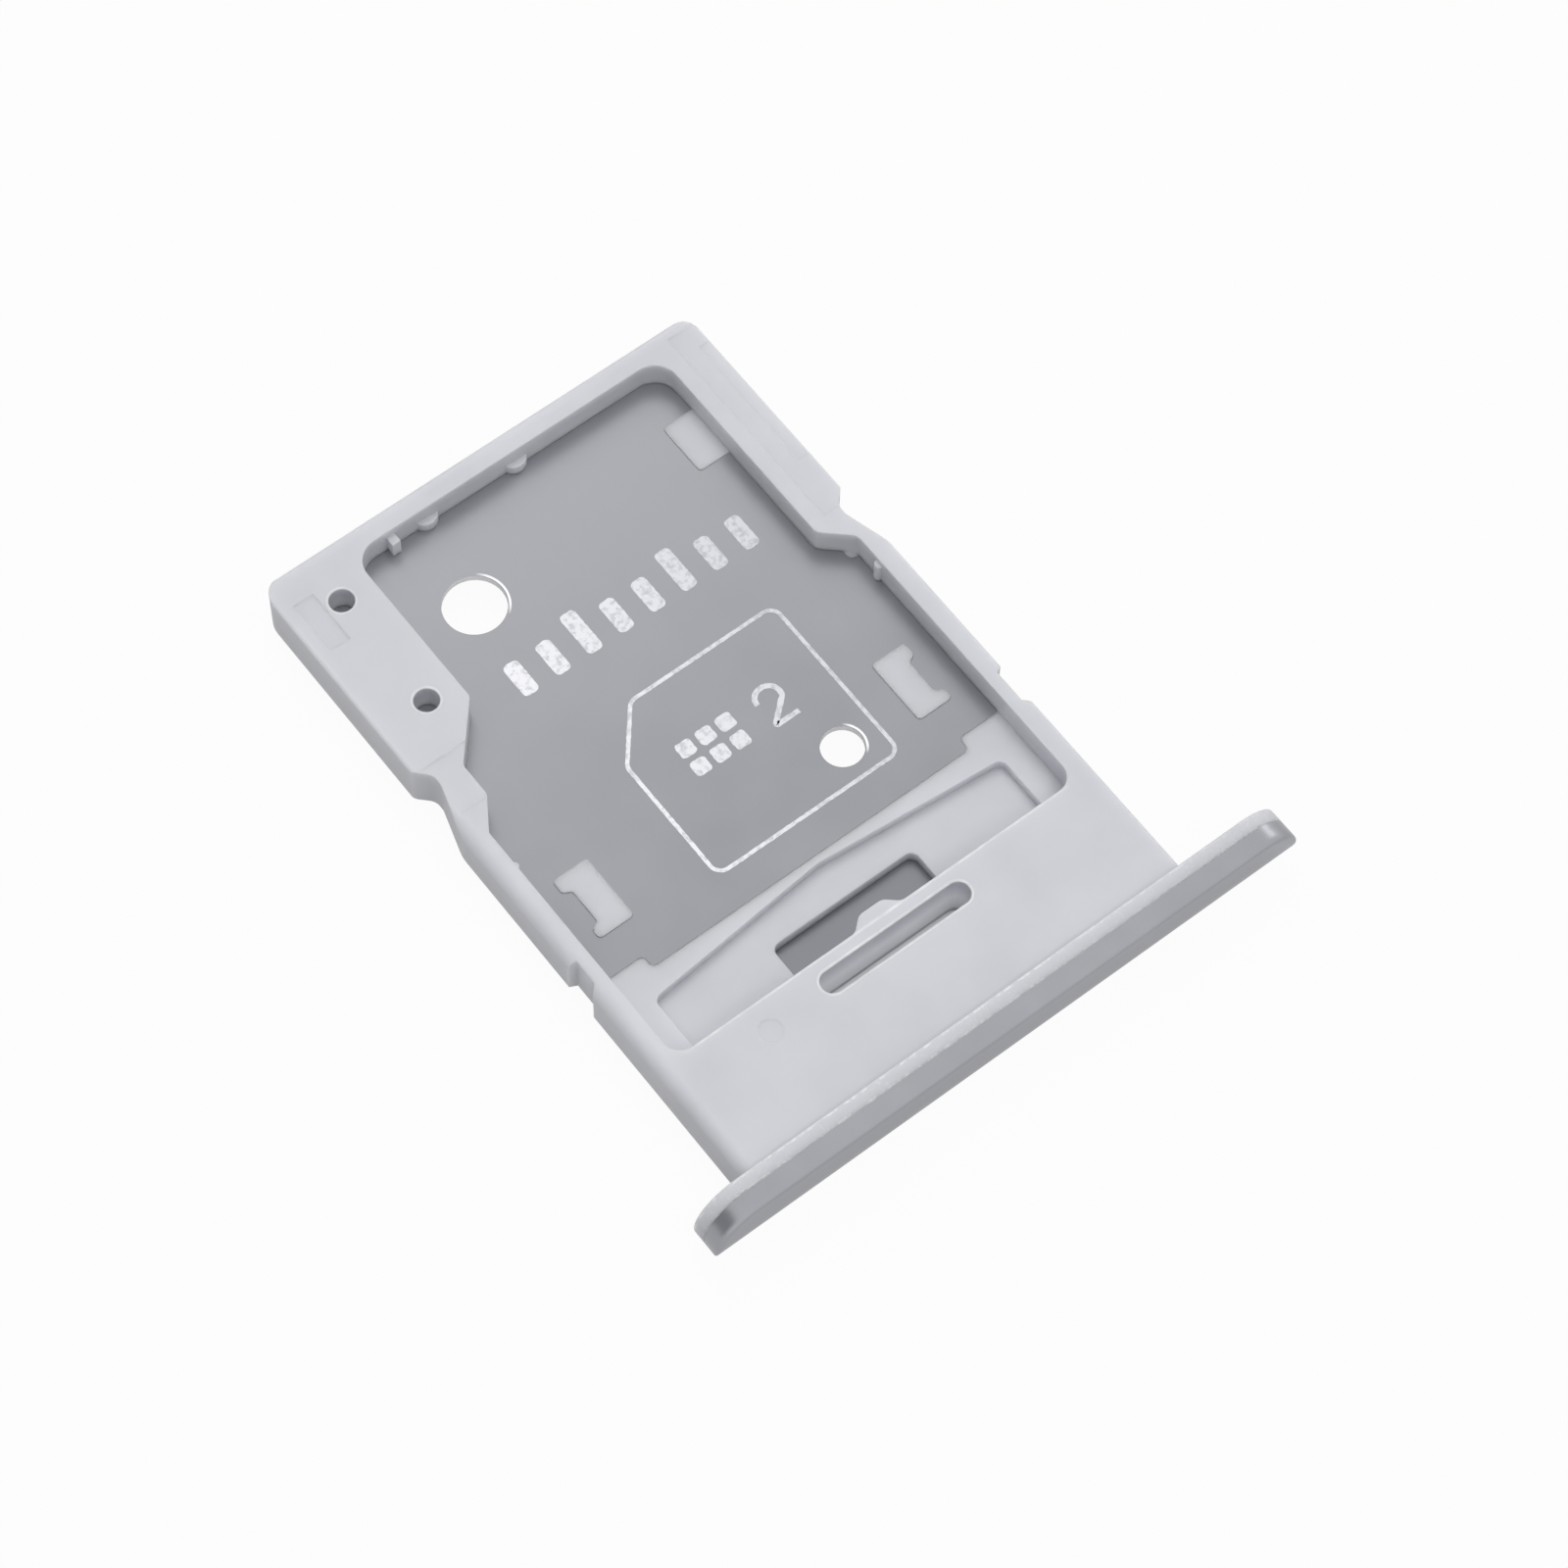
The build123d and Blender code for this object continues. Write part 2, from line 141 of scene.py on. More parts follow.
# The studio: its colours, its sizes in metres, and how white its air and paper look
PAPER_DARK = "#C2C2C2"
PAPER_PALE = "#C6C6C6"
CARD_GREY = "#A8A8AA"
WHITE = "#FFFFFF"
FLOOR_HALF = 0.6
TRAY_MIDDLE = (0, 0.01, 0)
AIR_LIGHT = 0.52
PAPER_SEEN_WHITE = 0.955
PAPER_MIRRORED_WHITE = 0.5

# The real size of each finish's features, in millimetres
PLASTIC_CLOUD = 2.4
PLASTIC_GRAIN = 0.04
PLASTIC_GRAIN_DEPTH = 0.004
PLASTIC_EDGE_R = 0.06
PLASTIC_LIGHT_REACH = 0.6
FLASH_BREAK = 0.22
FLASH_SPOT = 0.12
FLASH_HEIGHT = 0.02
# The patches of the painted highlights on the frame's edges and rims
RIM_HIGHLIGHT_PATCH = 0.6
EDGE_HIGHLIGHT_PATCH = 0.5
STEEL_CLOUD = 3.5
STEEL_LINE = 0.05
STEEL_LINE_DEPTH = 0.002
STEEL_EDGE_R = 0.03
# A laser's own pits are about 0.05 mm across, too fine to show, and are drawn as coarse as they need to be.
ETCH_PIT = 0.16
ETCH_PIT_DEPTH = 0.006
CAP_CLOUD = 1.6
CAP_PIT = 0.03
CAP_PIT_DEPTH = 0.002
CAP_EDGE_R = 0.3
PAPER_FIBRE = 4.0

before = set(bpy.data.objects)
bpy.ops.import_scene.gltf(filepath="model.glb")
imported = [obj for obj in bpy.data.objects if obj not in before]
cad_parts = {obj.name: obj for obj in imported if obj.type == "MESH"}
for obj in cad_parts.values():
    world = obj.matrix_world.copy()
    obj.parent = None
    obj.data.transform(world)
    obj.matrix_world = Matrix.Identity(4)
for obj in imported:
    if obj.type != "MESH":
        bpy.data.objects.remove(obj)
cad_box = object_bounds()


def linear(hex_colour):
    """An sRGB hex colour as linear red, green, blue and alpha."""
    parts = [int(hex_colour[i:i + 2], 16) / 255 for i in (1, 3, 5)]
    return [c / 12.92 if c <= 0.04045 else ((c + 0.055) / 1.055) ** 2.4 for c in parts] + [1]


def per_metre(size_mm):
    """The noise scale whose features are about this many millimetres across."""
    return 1 / (size_mm * MM)


def add(tree, kind, inputs=(), **settings):
    """A node with its settings. Its inputs go by name, or in a list by their order among those that
    the settings leave in use, and each is a value, a socket, or a node whose first output in use it takes."""
    node = tree.nodes.new("ShaderNode" + kind)
    for name, value in settings.items():
        setattr(node, name, value)
    if isinstance(inputs, dict):
        pairs = [(node.inputs[name], value) for name, value in inputs.items()]
    else:
        pairs = zip([socket for socket in node.inputs if socket.enabled], inputs)
    for socket, value in pairs:
        if isinstance(value, bpy.types.Node):
            value = next(output for output in value.outputs if output.enabled)
        if isinstance(value, bpy.types.NodeSocket):
            tree.links.new(value, socket)
        else:
            socket.default_value = value
    return node


def new_material(name):
    """An empty material, with its tree and the coordinates that its patterns follow."""
    material = bpy.data.materials.new(name)
    material.use_nodes = True
    tree = material.node_tree
    tree.nodes.clear()
    place = add(tree, "TexCoord").outputs["Object"]
    return material, tree, place


def line_across(tree, along, place_mm, width_mm):
    """1 on a line across the tray, falling to 0 at its width on either side."""
    offset = add(tree, "Math", [along, place_mm * MM], operation="SUBTRACT")
    distance = add(tree, "Math", [offset], operation="ABSOLUTE")
    return add(tree, "MapRange", [distance, 0, width_mm * MM, 1, 0])


def distance_from_holes(tree, axes):
    """How far a point lies outside the nearest of the narrow holes, and below zero inside one."""
    nearest = FAR_FROM_HOLES * MM
    for (middle_x, middle_y), half_length, half_width in NARROW_HOLES:
        offset = add(tree, "Math", [axes["X"], middle_x * MM], operation="SUBTRACT")
        across = add(tree, "Math", [offset], operation="ABSOLUTE")
        past_end = add(tree, "Math", [across, (half_length - half_width) * MM], operation="SUBTRACT")
        past_end = add(tree, "Math", [past_end, 0], operation="MAXIMUM")
        along = add(tree, "Math", [axes["Y"], middle_y * MM], operation="SUBTRACT")
        flat = add(tree, "CombineXYZ", [past_end, along])
        away = add(tree, "VectorMath", [flat], operation="LENGTH")
        from_hole = add(tree, "Math", [away, half_width * MM], operation="SUBTRACT")
        nearest = add(tree, "Math", [nearest, from_hole], operation="MINIMUM")
    return nearest


def painted_highlight_rims(tree, place, axes, from_holes):
    """Painted highlights: thin bright rims beside the narrow holes and along the pocket's near edge."""
    hole_highlight_rims = add(tree, "MapRange", [from_holes, 0.04 * MM, 0.07 * MM, 1, 0])
    near_edge = line_across(tree, axes["Y"], POCKET_NEAR_EDGE - 0.03, 0.06)
    across = add(tree, "Math", [axes["X"]], operation="ABSOLUTE")
    in_width = add(tree, "MapRange", [across, HIGHLIGHT_FADE_END * MM, HIGHLIGHT_HALF_WIDTH * MM])
    near_edge = add(tree, "Math", [near_edge, in_width], operation="MULTIPLY")
    highlight_rims = add(tree, "Math", [hole_highlight_rims, near_edge], operation="MAXIMUM")
    on_top = add(tree, "Math", [axes["Z"], UNDER_TOP_FACE * MM], operation="GREATER_THAN")
    highlight_rims = add(tree, "Math", [highlight_rims, on_top], operation="MULTIPLY")
    marks = add(tree, "TexNoise", {"Vector": place, "Scale": per_metre(RIM_HIGHLIGHT_PATCH), "Detail": 3, "Roughness": 0.6})
    patches = add(tree, "MapRange", [marks, 0.35, 0.65, 0.25, 0.9])
    return add(tree, "Math", [highlight_rims, patches], operation="MULTIPLY")


def painted_edge_highlights(tree, place, axes):
    """A faint mask of the frame's sharp edges, painted paler in patches as a painted highlight."""
    face = add(tree, "NewGeometry").outputs["Normal"]
    eased = add(tree, "Bevel", [PLASTIC_EDGE_R * MM], samples=6)
    same = add(tree, "VectorMath", [face, eased], operation="DOT_PRODUCT")
    edge = add(tree, "MapRange", [same, 0.99, 0.85, 0, 0.3])
    marks = add(tree, "TexNoise", {"Vector": place, "Scale": per_metre(EDGE_HIGHLIGHT_PATCH), "Detail": 2})
    patches = add(tree, "MapRange", [marks, 0.4, 0.6, 0.45, 1])
    edge = add(tree, "Math", [edge, patches], operation="MULTIPLY")
    off_flange = add(tree, "MapRange", [axes["Y"], 0, FLANGE_FADE * MM])
    return add(tree, "Math", [edge, off_flange], operation="MULTIPLY")


def mould_flash_and_glint(tree, place, axes, on_flange):
    """Thin flash on the flange's rear edge and where the tool closed on the metal cap, in broken
    lines that fade toward the right, with fine spots of it between them. Its white is a painted glint."""
    rear_edge = line_across(tree, axes["Y"], *REAR_FLASH)
    cap_seam = line_across(tree, axes["Y"], *SEAM_FLASH)
    lines = add(tree, "Math", [rear_edge, cap_seam], operation="MAXIMUM")
    breaks = add(tree, "TexNoise", {"Vector": place, "Scale": per_metre(FLASH_BREAK), "Detail": 3, "Roughness": 0.6})
    broken = add(tree, "MapRange", [breaks, 0.45, 0.65])
    lines = add(tree, "Math", [lines, broken], operation="MULTIPLY")
    toward_left = add(tree, "MapRange", [axes["X"], 6 * MM, -2 * MM, 0.35, 1])
    lines = add(tree, "Math", [lines, toward_left], operation="MULTIPLY")
    specks = add(tree, "TexNoise", {"Vector": place, "Scale": per_metre(FLASH_SPOT), "Detail": 2, "Roughness": 0.6})
    spots = add(tree, "MapRange", [specks, 0.56, 0.7, 0, 0.15])
    spots = add(tree, "Math", [on_flange, spots], operation="MULTIPLY")
    return add(tree, "Math", [lines, spots], operation="MAXIMUM")


def moulded_plastic():
    """Filled polymer, injection moulded in an eroded steel tool, which leaves the eye an even, pale
    satin face with a very fine grain, a little light inside it and softly rounded edges."""
    material, tree, place = new_material("moulded_polymer_satin")
    axes = add(tree, "SeparateXYZ", [place]).outputs
    clouds = add(tree, "TexNoise", {"Vector": place, "Scale": per_metre(PLASTIC_CLOUD), "Detail": 3})
    clouds = add(tree, "MapRange", [clouds, 0.35, 0.65])
    colour = add(tree, "Mix", [clouds, linear(PLASTIC_DARK), linear(PLASTIC_PALE)], data_type="RGBA")

    # The flange is a shade darker, and carries the glossy flash, painted white as a glint.
    on_flange = add(tree, "MapRange", [axes["Y"], FLANGE_FADE * MM, 0])
    colour = add(tree, "Mix", [on_flange, colour, linear(FLANGE_SHADE)], data_type="RGBA")
    flash = mould_flash_and_glint(tree, place, axes, on_flange)
    colour = add(tree, "Mix", [flash, colour, linear(FLASH_GLINT_WHITE)], data_type="RGBA")
    gloss = add(tree, "MapRange", [flash, 0, 1, 0.42, 0.22])

    # The narrow holes' walls are painted grey at the top and near white deeper down, a painted light that lifts the
    # shade inside them.
    from_holes = distance_from_holes(tree, axes)
    inside = add(tree, "MapRange", [from_holes, 0.03 * MM, 0.02 * MM])
    walls_middle = (HOLE_WALLS_BOTTOM + UNDER_TOP_FACE) / 2 * MM
    half_walls = (UNDER_TOP_FACE - HOLE_WALLS_BOTTOM) / 2 * MM
    on_walls = add(tree, "Math", [axes["Z"], walls_middle, half_walls], operation="COMPARE")
    on_walls = add(tree, "Math", [inside, on_walls], operation="MULTIPLY")
    depth = add(tree, "MapRange", [axes["Z"], 0.8 * MM, 0.1 * MM])
    painted_wall_light = add(tree, "Mix", [depth, linear(HOLE_WALL_TOP_PAINTED_TONE), linear(HOLE_WALL_DEEP_PAINTED_LIGHT)], data_type="RGBA")
    colour = add(tree, "Mix", [on_walls, colour, painted_wall_light], data_type="RGBA")

    # The edges and rims get a painted highlight.
    highlight_rims = painted_highlight_rims(tree, place, axes, from_holes)
    painted_highlights = add(tree, "Math", [painted_edge_highlights(tree, place, axes), highlight_rims], operation="MAXIMUM")
    colour = add(tree, "Mix", [painted_highlights, colour, linear(EDGE_HIGHLIGHT_WHITE)], data_type="RGBA")

    # The tool's eroded face leaves the grain, and the flash stands up from it.
    edges = add(tree, "Bevel", [PLASTIC_EDGE_R * MM], samples=6)
    grain = add(tree, "TexNoise", {"Vector": place, "Scale": per_metre(PLASTIC_GRAIN), "Detail": 2})
    grain = add(tree, "Bump", {
        "Height": grain, "Strength": 0.12, "Distance": PLASTIC_GRAIN_DEPTH * MM, "Normal": edges,
    })
    lumps = add(tree, "Bump", {"Height": flash, "Strength": 0.6, "Distance": FLASH_HEIGHT * MM, "Normal": grain})
    # Light goes into the open side only, so that the tongue doesn't show through its thin skin.
    translucence = add(tree, "MapRange", [axes["Z"], -0.85 * MM, -0.75 * MM, 0, 0.9])
    surface = add(tree, "BsdfPrincipled", {
        "Base Color": colour, "Roughness": gloss, "IOR": 1.53, "Normal": lumps,
        "Subsurface Weight": translucence, "Subsurface Radius": (1, 1, 1),
        "Subsurface Scale": PLASTIC_LIGHT_REACH * MM,
    })
    add(tree, "OutputMaterial", {"Surface": surface})
    return material


def burr_glints(tree, place, axes):
    """Painted highlights: bright crescents on the right of the poke holes, where the punch turned the edge over."""
    crescents = 0
    for centre, diameter in POKE_HOLES:
        middle = (centre[0] * MM, centre[1] * MM, STEEL_FLOOR_TOP * MM)
        away = add(tree, "VectorMath", [place, middle], operation="DISTANCE")
        edge = (diameter / 2 + BURR_OFFSET) * MM
        ring = add(tree, "Math", [away, edge, BURR_HALF_WIDTH * MM], operation="COMPARE")
        right = add(tree, "MapRange", [axes["X"], middle[0] + 0.6 * edge, middle[0] + 0.85 * edge])
        crescent = add(tree, "Math", [ring, right], operation="MULTIPLY")
        crescents = add(tree, "Math", [crescents, crescent], operation="MAXIMUM")
    return crescents


def rolled_steel():
    """Cold-rolled stainless sheet, stamped flat: a matt grey face with faint rolling lines along it."""
    material, tree, place = new_material("rolled_stainless_sheet")
    axes = add(tree, "SeparateXYZ", [place]).outputs
    stretch = add(tree, "Mapping", {"Vector": place, "Scale": (1, 0.06, 1)})
    lines = add(tree, "TexNoise", {"Vector": stretch, "Scale": per_metre(STEEL_LINE), "Detail": 2})
    clouds = add(tree, "TexNoise", {"Vector": place, "Scale": per_metre(STEEL_CLOUD), "Detail": 2})
    clouds = add(tree, "MapRange", [clouds, 0.3, 0.7])
    tone = add(tree, "Mix", [clouds, linear(STEEL_DARK), linear(STEEL_PALE)], data_type="RGBA")

    # The far end is a shade brighter, a painted sheen from the lamps.
    fresh = add(tree, "MapRange", [axes["Y"], 9 * MM, 18 * MM])
    tone = add(tree, "Mix", [fresh, tone, linear(STEEL_PAINTED_SHEEN)], data_type="RGBA")

    # The cut edges of the sheet are painted near white, a painted reflection, and the burr beside the poke holes gets
    # a painted glint.
    sheet_middle = (STEEL_FLOOR_TOP - SHEET_THICKNESS / 2) * MM
    half_sheet = (SHEET_THICKNESS / 2 - 0.001) * MM
    cut = add(tree, "Math", [axes["Z"], sheet_middle, half_sheet], operation="COMPARE")
    painted_shine = add(tree, "Math", [cut, burr_glints(tree, place, axes)], operation="MAXIMUM")
    tone = add(tree, "Mix", [painted_shine, tone, linear(STEEL_PAINTED_SHINE)], data_type="RGBA")
    metal = add(tree, "MapRange", [painted_shine, 0, 1, 1, 0.3])

    edges = add(tree, "Bevel", [STEEL_EDGE_R * MM], samples=6)
    bump = add(tree, "Bump", {
        "Height": lines, "Strength": 0.15, "Distance": STEEL_LINE_DEPTH * MM, "Normal": edges,
    })
    matt = add(tree, "MapRange", [lines, 0.3, 0.7, 0.3, 0.36])
    surface = add(tree, "BsdfPrincipled", {"Base Color": tone, "Metallic": metal, "Roughness": matt, "Normal": bump})
    add(tree, "OutputMaterial", {"Surface": surface})
    return material


def laser_etch():
    """The steel's skin broken up by a laser: a white, rough, glittering mark with darker pits in it."""
    material, tree, place = new_material("laser_etched_steel")
    pits = add(tree, "TexNoise", {"Vector": place, "Scale": per_metre(ETCH_PIT), "Detail": 3, "Roughness": 0.6})
    clean = add(tree, "MapRange", [pits, 0.36, 0.5])
    fresh = add(tree, "Mix", [clean, linear(ETCH_PIT_FRESH), linear(ETCH_FRESH)], data_type="RGBA")
    spotted = add(tree, "MapRange", [pits, 0.36, 0.56])
    faint = add(tree, "Mix", [spotted, linear(ETCH_PIT_FAINT), linear(ETCH_FAINT)], data_type="RGBA")
    # The marks are fainter toward the right.
    axes = add(tree, "SeparateXYZ", [place]).outputs
    greyer_rightward = add(tree, "MapRange", [axes["X"], -3 * MM, 3 * MM])
    colour = add(tree, "Mix", [greyer_rightward, fresh, faint], data_type="RGBA")
    bump = add(tree, "Bump", {"Height": pits, "Strength": 0.25, "Distance": ETCH_PIT_DEPTH * MM})
    surface = add(tree, "BsdfPrincipled", {"Base Color": colour, "Metallic": 0.15, "Roughness": 0.55, "Normal": bump})
    add(tree, "OutputMaterial", {"Surface": surface})
    return material


def anodised_aluminium():
    """Aluminium, fine blasted and anodised silver: a smooth grey metal with a soft sheen and no lines."""
    material, tree, place = new_material("anodised_aluminium_silver")
    along = add(tree, "SeparateXYZ", [place]).outputs["Y"]
    clouds = add(tree, "TexNoise", {"Vector": place, "Scale": per_metre(CAP_CLOUD), "Detail": 2})
    shade = add(tree, "MapRange", [clouds, 0.3, 0.7])
    tone = add(tree, "Mix", [shade, linear(CAP_DARK), linear(CAP_PALE)], data_type="RGBA")

    # The tongue inside the neck is a darker grey.
    on_tongue = add(tree, "MapRange", [along, (CAP_SEAM - 0.01) * MM, (CAP_SEAM + 0.01) * MM])
    tone = add(tree, "Mix", [on_tongue, tone, linear(TONGUE_GREY)], data_type="RGBA")
    # Under the narrow slot it is painted pale and not metallic, a painted light that lifts the slot's shade.
    painted_slot_light = add(tree, "MapRange", [line_across(tree, along, SLOT_MIDDLE, SLOT_LIGHT_FADE), 0.45, 0.5])
    tone = add(tree, "Mix", [painted_slot_light, tone, linear(TONGUE_PAINTED_LIGHT)], data_type="RGBA")
    metal = add(tree, "MapRange", [painted_slot_light, 0, 1, 1, 0])

    # The cap's front edges are broken by hand, and its edge on the plastic is left sharp.
    eased = add(tree, "Bevel", [CAP_EDGE_R * MM], samples=16)
    sharp = add(tree, "NewGeometry").outputs["Normal"]
    off_seam = add(tree, "MapRange", [along, -0.5 * MM, -0.6 * MM])
    edges = add(tree, "Mix", [off_seam, sharp, eased], data_type="VECTOR")
    pits = add(tree, "TexNoise", {"Vector": place, "Scale": per_metre(CAP_PIT), "Detail": 1})
    bump = add(tree, "Bump", {"Height": pits, "Strength": 0.1, "Distance": CAP_PIT_DEPTH * MM, "Normal": edges})
    satin = add(tree, "MapRange", [clouds, 0.3, 0.7, 0.27, 0.34])
    surface = add(tree, "BsdfPrincipled", {"Base Color": tone, "Metallic": metal, "Roughness": satin, "Normal": bump})
    add(tree, "OutputMaterial", {"Surface": surface})
    return material


def studio_paper():
    """The white sweep under the tray. The eye sees it white, and it still takes the tray's shadow."""
    material, tree, place = new_material("white_studio_paper")
    fibres = add(tree, "TexNoise", {"Vector": place, "Scale": per_metre(PAPER_FIBRE), "Detail": 2})
    colour = add(tree, "Mix", [fibres, linear(PAPER_DARK), linear(PAPER_PALE)], data_type="RGBA")
    paper = add(tree, "BsdfDiffuse", {"Color": colour})
    white = add(tree, "Emission", {"Color": linear(WHITE), "Strength": 1})
    path = add(tree, "LightPath").outputs
    seen = add(tree, "Math", [path["Is Camera Ray"], PAPER_SEEN_WHITE], operation="MULTIPLY")
    mirrored = add(tree, "Math", [path["Is Glossy Ray"], PAPER_MIRRORED_WHITE], operation="MULTIPLY")
    share = add(tree, "Math", [seen, mirrored], operation="ADD")
    surface = add(tree, "MixShader", [share, paper, white])
    add(tree, "OutputMaterial", {"Surface": surface})
    return material


def rounded_path(corners, closed, step=0.04):
    """Points a step apart along straight runs joined by arcs, from (x, y, radius) corners."""
    path = []
    count = len(corners)
    for i, (x, y, radius) in enumerate(corners):
        here = Vector((x, y))
        if radius == 0 or (not closed and i in (0, count - 1)):
            path.append(here)
            continue
        before = (Vector(corners[i - 1][:2]) - here).normalized()
        after = (Vector(corners[(i + 1) % count][:2]) - here).normalized()
        half_angle = before.angle(after) / 2
        reach = radius / tan(half_angle)
        centre = here + (before + after).normalized() * radius / sin(half_angle)
        start = here + before * reach - centre
        turn = start.angle_signed(here + after * reach - centre)
        pieces = max(2, ceil(abs(turn) * radius / step))
        for k in range(pieces + 1):
            angle = -turn * k / pieces
            path.append(centre + Vector((
                start.x * cos(angle) - start.y * sin(angle),
                start.x * sin(angle) + start.y * cos(angle),
            )))
    ends = list(zip(path, path[1:] + path[:1])) if closed else list(zip(path, path[1:]))
    points = []
    for start, end in ends:
        pieces = max(1, round((end - start).length / step))
        points += [start.lerp(end, k / pieces) for k in range(pieces)]
    return points if closed else points + [path[-1]]


def stroke(corners, width, closed=False):
    """The vertices and the faces of one flat etched line, a little ragged along both edges."""
    points = rounded_path(corners, closed)
    count = len(points)
    vertices = []
    for i, point in enumerate(points):
        before = points[i - 1] if closed or i else point
        after = points[(i + 1) % count] if closed or i < count - 1 else point
        along = (after - before).normalized()
        across = Vector((-along.y, along.x))
        for side in (-1, 1):
            ragged = noise.noise(Vector((point.x * RAGGED_WAVES, point.y * RAGGED_WAVES, side * 5)))
            edge = point + across * side * width / 2 * (1 + RAGGED_LINE * ragged)
            vertices.append((edge.x * MM, edge.y * MM, (STEEL_FLOOR_TOP + ETCH_LIFT) * MM))
    last = count if closed else count - 1
    faces = []
    for i in range(last):
        near, far = 2 * i, 2 * ((i + 1) % count)
        faces.append((near, far, far + 1, near + 1))
    return vertices, faces


def etched_piece(name, strokes, material):
    """One piece of the etching, made of flat lines on the steel floor."""
    vertices, faces = [], []
    for line_vertices, line_faces in strokes:
        first = len(vertices)
        vertices += line_vertices
        faces += [[first + v for v in face] for face in line_faces]
    mesh = bpy.data.meshes.new(name)
    mesh.from_pydata(vertices, [], faces)
    mesh.materials.append(material)
    piece = bpy.data.objects.new(name, mesh)
    bpy.context.scene.collection.objects.link(piece)
    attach(piece, "root")
    return piece


def card_outline():
    """The outline of a nano card laid across, with its cut corner."""
    corners = [
        (CARD_LEFT, CARD_NEAR, CARD_CORNER_R),
        (CARD_RIGHT, CARD_NEAR, CARD_CORNER_R),
        (CARD_RIGHT, CARD_FAR, CARD_CORNER_R),
        (CARD_CUT_X, CARD_FAR, CARD_CORNER_R),
        (CARD_LEFT, CARD_CUT_Y, CARD_CORNER_R),
    ]
    return [stroke(corners, OUTLINE_WIDTH, closed=True)]


def pad(left, right, near, far, corner_r):
    """The vertices and the one face of an etched patch with rounded corners and a ragged edge."""
    corners = [(left, near, corner_r), (right, near, corner_r), (right, far, corner_r), (left, far, corner_r)]
    middle = Vector(((left + right) / 2, (near + far) / 2))
    vertices = []
    for point in rounded_path(corners, closed=True):
        ragged = noise.noise(Vector((point.x * RAGGED_WAVES, point.y * RAGGED_WAVES, 2)))
        edge = point + (point - middle).normalized() * RAGGED_PAD * ragged
        vertices.append((edge.x * MM, edge.y * MM, (STEEL_FLOOR_TOP + ETCH_LIFT) * MM))
    return vertices, [list(range(len(vertices)))]


def contact_fingers():
    """A row of contact fingers."""
    fingers = []
    for i in range(FINGERS):
        left = FINGERS_LEFT + i * FINGERS_PITCH
        far = LONG_FINGER_FAR if i in LONG_FINGERS else FINGER_FAR
        fingers.append(pad(left, left + FINGER_WIDTH, FINGER_NEAR, far, FINGER_CORNER_R))
    return fingers


def chip_sign():
    """A chip's contact pads."""
    pads = []
    for i in range(PADS_ACROSS):
        for k in range(PADS_UP):
            left = PADS_LEFT + i * PAD_PITCH
            near = PADS_NEAR + k * PAD_PITCH
            pads.append(pad(left, left + PAD_SIZE, near, near + PAD_SIZE, PAD_CORNER_R))
    return pads


def slot_number():
    """The plain number 2."""
    left, right = NUMBER_LEFT, NUMBER_LEFT + NUMBER_WIDTH
    bowl = NUMBER_WIDTH / 2
    return [stroke([
        (left, NUMBER_FAR - bowl, 0),
        (left, NUMBER_FAR, bowl * 0.95),
        (right, NUMBER_FAR, bowl * 0.95),
        (right, NUMBER_FAR - 1.3 * bowl, bowl * 0.5),
        (left, NUMBER_NEAR, 0.03),
        (right + 0.05, NUMBER_NEAR, 0),
    ], NUMBER_STROKE)]


def dress_node(name, material):
    """Gives a solid of the tray its finish."""
    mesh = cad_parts[name].data
    mesh.materials.clear()
    mesh.materials.append(material)


def lay_floor():
    """The paper that the tray lies on."""
    half = FLOOR_HALF
    low = cad_box[0][2]
    mesh = bpy.data.meshes.new("studio_floor")
    corners = [(-half, -half, low), (half, -half, low), (half, half, low), (-half, half, low)]
    mesh.from_pydata(corners, [], [(0, 1, 2, 3)])
    mesh.materials.append(studio_paper())
    floor = bpy.data.objects.new("studio_floor", mesh)
    bpy.context.scene.collection.objects.link(floor)


def light_world():
    """Soft light from all round, with white for the eye and for what metal mirrors."""
    world = bpy.data.worlds.new("studio_air")
    world.use_nodes = True
    tree = world.node_tree
    tree.nodes.clear()
    soft = add(tree, "Background", {"Color": linear(WHITE), "Strength": AIR_LIGHT})
    white = add(tree, "Background", {"Color": linear(WHITE), "Strength": 1})
    path = add(tree, "LightPath").outputs
    seen = add(tree, "Math", [path["Is Camera Ray"], path["Is Glossy Ray"]], operation="MAXIMUM")
    seen = add(tree, "Math", [seen, path["Is Transmission Ray"]], operation="MAXIMUM")
    air = add(tree, "MixShader", [seen, soft, white])
    add(tree, "OutputWorld", {"Surface": air})
    bpy.context.scene.world = world


def hang_lamp(name, place, width, power, mirrored=False):
    """A soft square lamp that looks at the tray's middle."""
    lamp = bpy.data.lights.new(name, "AREA")
    lamp.shape = "SQUARE"
    lamp.size = width
    lamp.energy = power
    hung = bpy.data.objects.new(name, lamp)
    hung.location = place
    # The metal mirrors the white studio, and only the lamp beside the bezel shows in it.
    hung.visible_glossy = mirrored
    aim = Vector(TRAY_MIDDLE) - Vector(place)
    hung.rotation_euler = aim.to_track_quat("-Z", "Y").to_euler()
    bpy.context.scene.collection.objects.link(hung)


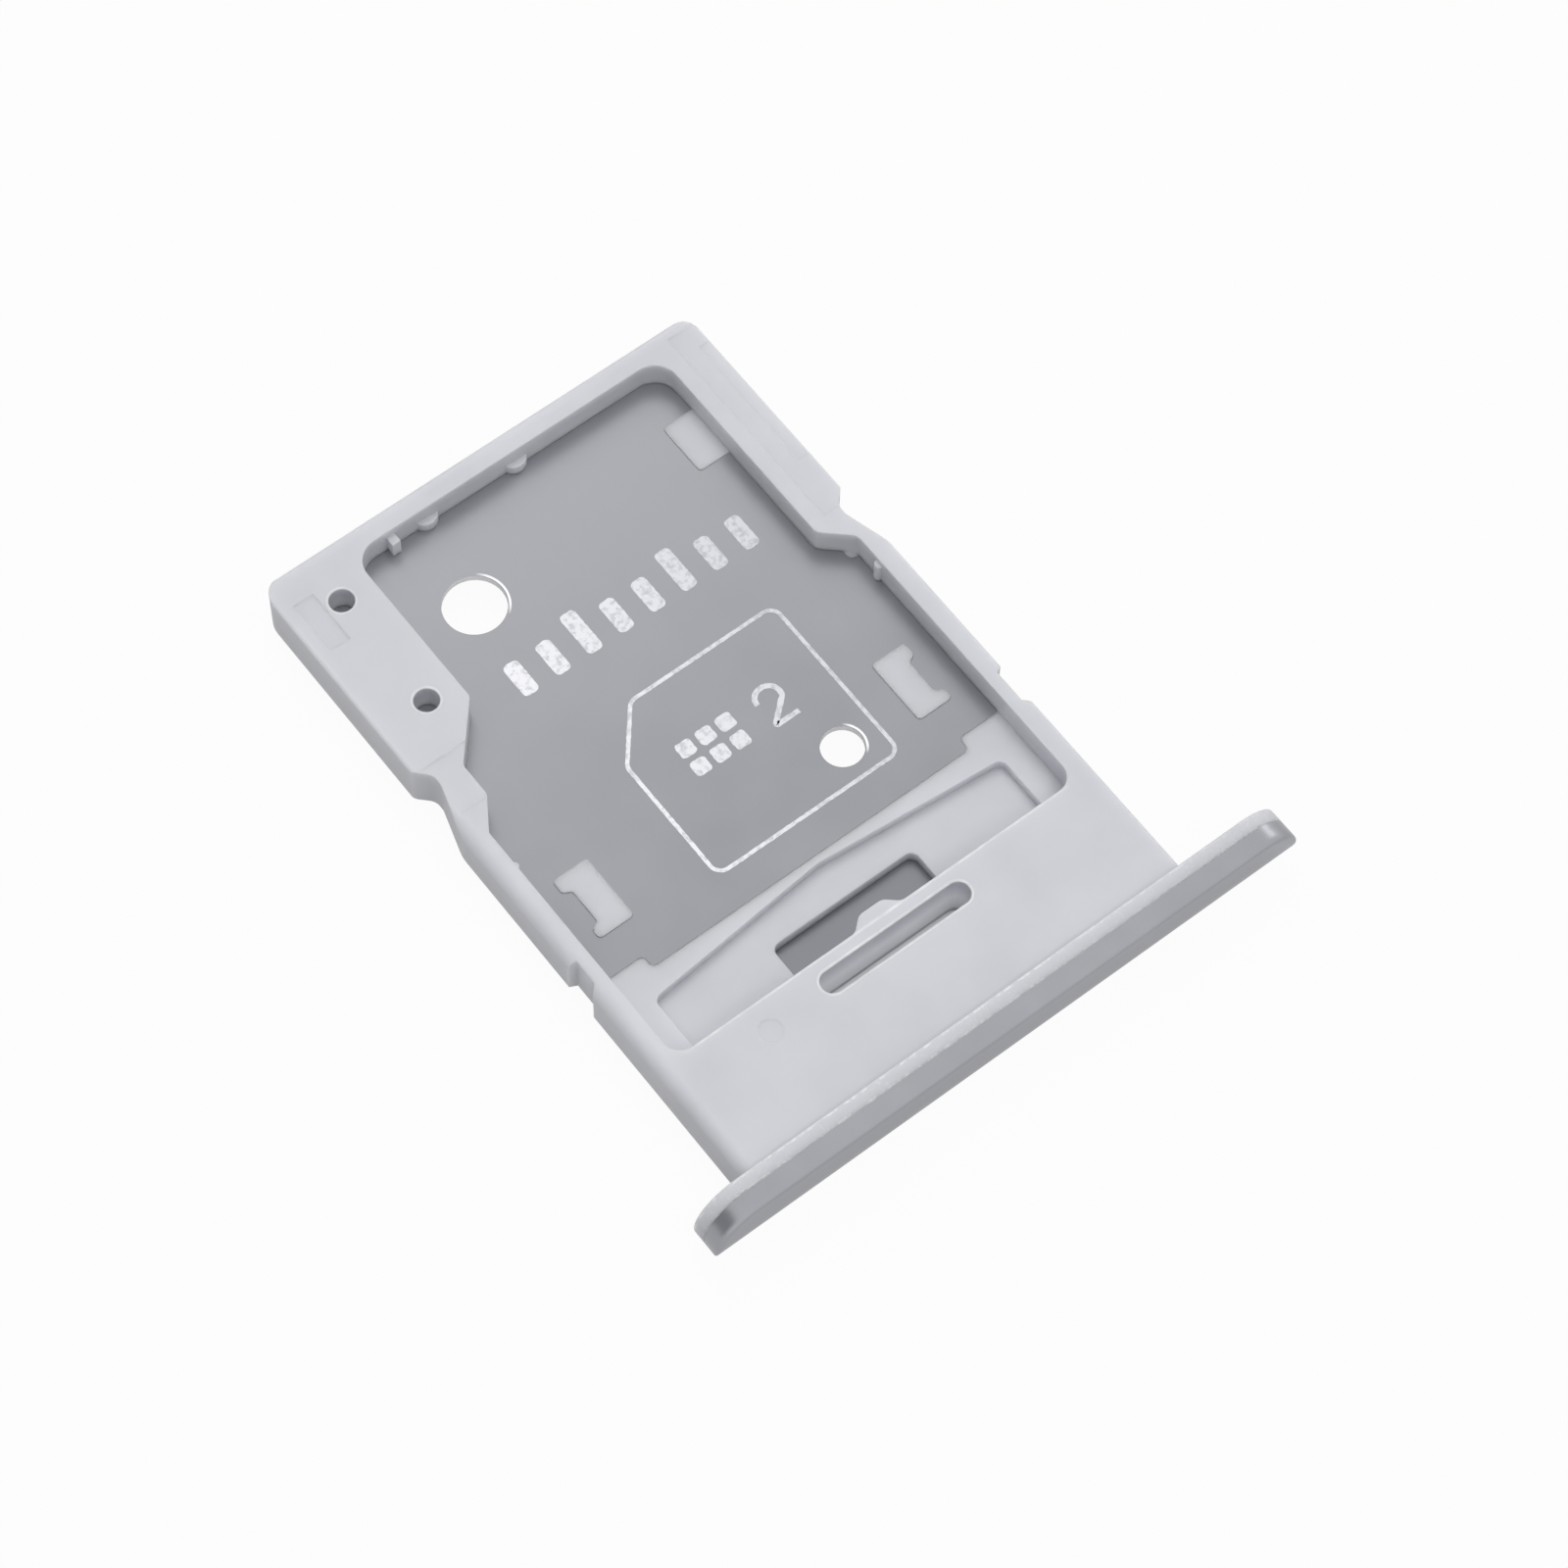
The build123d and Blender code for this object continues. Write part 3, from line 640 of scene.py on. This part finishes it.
def stand_flag(name, place, width):
    """A grey card beside the bezel, which shows only in the rounded end of the metal."""
    half = width / 2
    mesh = bpy.data.meshes.new(name)
    mesh.from_pydata([(-half, -half, 0), (half, -half, 0), (half, half, 0), (-half, half, 0)], [], [(0, 1, 2, 3)])
    material, tree, _ = new_material("grey_studio_card")
    add(tree, "OutputMaterial", {"Surface": add(tree, "Emission", {"Color": linear(CARD_GREY), "Strength": 1})})
    mesh.materials.append(material)
    flag = bpy.data.objects.new(name, mesh)
    flag.location = place
    flag.rotation_euler = Vector(place).to_track_quat("Z", "Y").to_euler()
    for kind in ("camera", "diffuse", "shadow", "transmission"):
        setattr(flag, "visible_" + kind, False)
    bpy.context.scene.collection.objects.link(flag)


def place_camera():
    """The camera where the photograph was taken from."""
    camera = bpy.data.cameras.new("photo_camera")
    camera.sensor_width = SENSOR_WIDTH
    camera.lens = CAMERA_LENS
    camera.clip_start = 0.005
    camera.clip_end = 5
    placed = bpy.data.objects.new("photo_camera", camera)
    turn = Matrix.Rotation(radians(CAMERA_AZIMUTH), 4, "Z")
    tilt = Matrix.Rotation(radians(90 - CAMERA_ELEVATION), 4, "X")
    roll = Matrix.Rotation(radians(CAMERA_ROLL), 4, "Z")
    placed.matrix_world = Matrix.Translation(Vector(CAMERA_PLACE) * MM) @ turn @ tilt @ roll
    bpy.context.scene.collection.objects.link(placed)
    bpy.context.scene.camera = placed


# The solids get their finishes
dress_node("tray_frame", moulded_plastic())
dress_node("floor_plate", rolled_steel())
dress_node("end_cap", anodised_aluminium())

# The etching on the steel floor
etch = laser_etch()
etched_piece("etched_card_outline", card_outline(), etch)
etched_piece("etched_contact_fingers", contact_fingers(), etch)
etched_piece("etched_chip_sign", chip_sign(), etch)
etched_piece("etched_slot_number", slot_number(), etch)

# The studio
lay_floor()
light_world()
hang_lamp("key_softbox", place=(0.06, 0.12, 0.32), width=0.2, power=0.4)
hang_lamp("fill_softbox", place=(0.0, -0.12, 0.33), width=0.2, power=0.36)
hang_lamp("bezel_end_softbox", place=(0.19, 0.06, 0.09), width=0.06, power=0.014, mirrored=True)
stand_flag("bezel_end_flag", place=(-0.1, 0.032, 0.036), width=0.1)
place_camera()
bpy.context.scene.view_settings.view_transform = "Standard"
